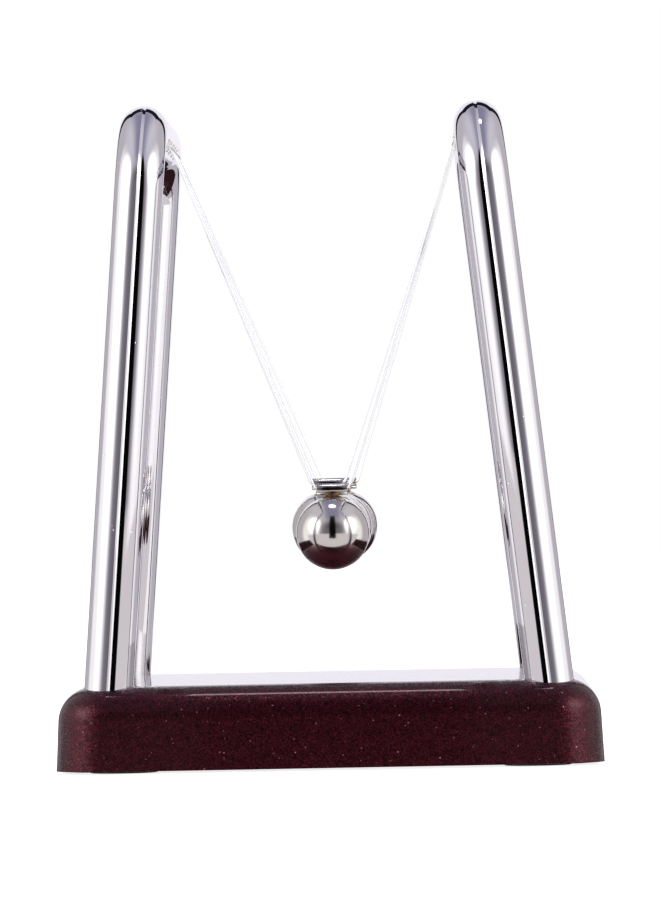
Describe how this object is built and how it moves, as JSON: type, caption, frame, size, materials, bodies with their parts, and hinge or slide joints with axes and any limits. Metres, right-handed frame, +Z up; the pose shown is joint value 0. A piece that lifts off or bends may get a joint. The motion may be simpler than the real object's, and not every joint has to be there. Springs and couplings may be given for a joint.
{
  "type": "newton's cradle",
  "caption": "Desk Newton's cradle: a row of steel balls hung on V lines between two leaning chrome frames on a moulded base.",
  "frame": {"origin": "middle of the footprint, on the surface that the foot pads stand on", "axes": "+Z up; +Y along the row of balls from the first ball to the last; +X from the left frame to the right frame"},
  "size_m": [0.07, 0.088, 0.0854],
  "materials": {
    "base_plastic": "glossy burgundy with fine metal flake",
    "cover_plastic": "fine moulded texture",
    "chrome_plate": "bright chrome plating on moulded plastic",
    "ball_steel": "mirror polished",
    "tube_steel": "bright nickel plated",
    "clear_nylon": "clear monofilament",
    "plug_nylon": "natural nylon",
    "zinc_screw": "bright zinc",
    "pad_rubber": "matt"
  },
  "bodies": {
    "stand": {"base_shell": "base_plastic", "bottom_cover": "cover_plastic", "foot_pad_1": "pad_rubber", "foot_pad_2": "pad_rubber", "foot_pad_3": "pad_rubber", "foot_pad_4": "pad_rubber", "leg_screw_1": "zinc_screw", "leg_screw_2": "zinc_screw", "leg_screw_3": "zinc_screw", "leg_screw_4": "zinc_screw", "left_frame": "chrome_plate", "right_frame": "chrome_plate", "left_line_plug_1": "plug_nylon", "left_line_plug_2": "plug_nylon", "left_line_plug_3": "plug_nylon", "left_line_plug_4": "plug_nylon", "left_line_plug_5": "plug_nylon", "right_line_plug_1": "plug_nylon", "right_line_plug_2": "plug_nylon", "right_line_plug_3": "plug_nylon", "right_line_plug_4": "plug_nylon", "right_line_plug_5": "plug_nylon"},
    "pendulum_1": {"ball_1": "ball_steel", "string_tube_1": "tube_steel", "line_1": "clear_nylon"},
    "pendulum_2": {"ball_2": "ball_steel", "string_tube_2": "tube_steel", "line_2": "clear_nylon"},
    "pendulum_3": {"ball_3": "ball_steel", "string_tube_3": "tube_steel", "line_3": "clear_nylon"},
    "pendulum_4": {"ball_4": "ball_steel", "string_tube_4": "tube_steel", "line_4": "clear_nylon"},
    "pendulum_5": {"ball_5": "ball_steel", "string_tube_5": "tube_steel", "line_5": "clear_nylon"}
  },
  "joints": [
    {"name": "ball_1_swing", "type": "hinge", "parent": "stand", "child": "pendulum_1", "pos_m": [0, -0.01904, 0.08064], "axis": [1, 0, 0], "range_deg": [-60, 0.03]},
    {"name": "ball_2_swing", "type": "hinge", "parent": "stand", "child": "pendulum_2", "pos_m": [0, -0.00955, 0.08064], "axis": [1, 0, 0], "range_deg": [-0.025, 0.025]},
    {"name": "ball_3_swing", "type": "hinge", "parent": "stand", "child": "pendulum_3", "pos_m": [0, -0.00002, 0.08064], "axis": [1, 0, 0], "range_deg": [-0.025, 0.025]},
    {"name": "ball_4_swing", "type": "hinge", "parent": "stand", "child": "pendulum_4", "pos_m": [0, 0.00952, 0.08064], "axis": [1, 0, 0], "range_deg": [-0.025, 0.025]},
    {"name": "ball_5_swing", "type": "hinge", "parent": "stand", "child": "pendulum_5", "pos_m": [0, 0.01904, 0.08064], "axis": [1, 0, 0], "range_deg": [-0.03, 60]}
  ]
}
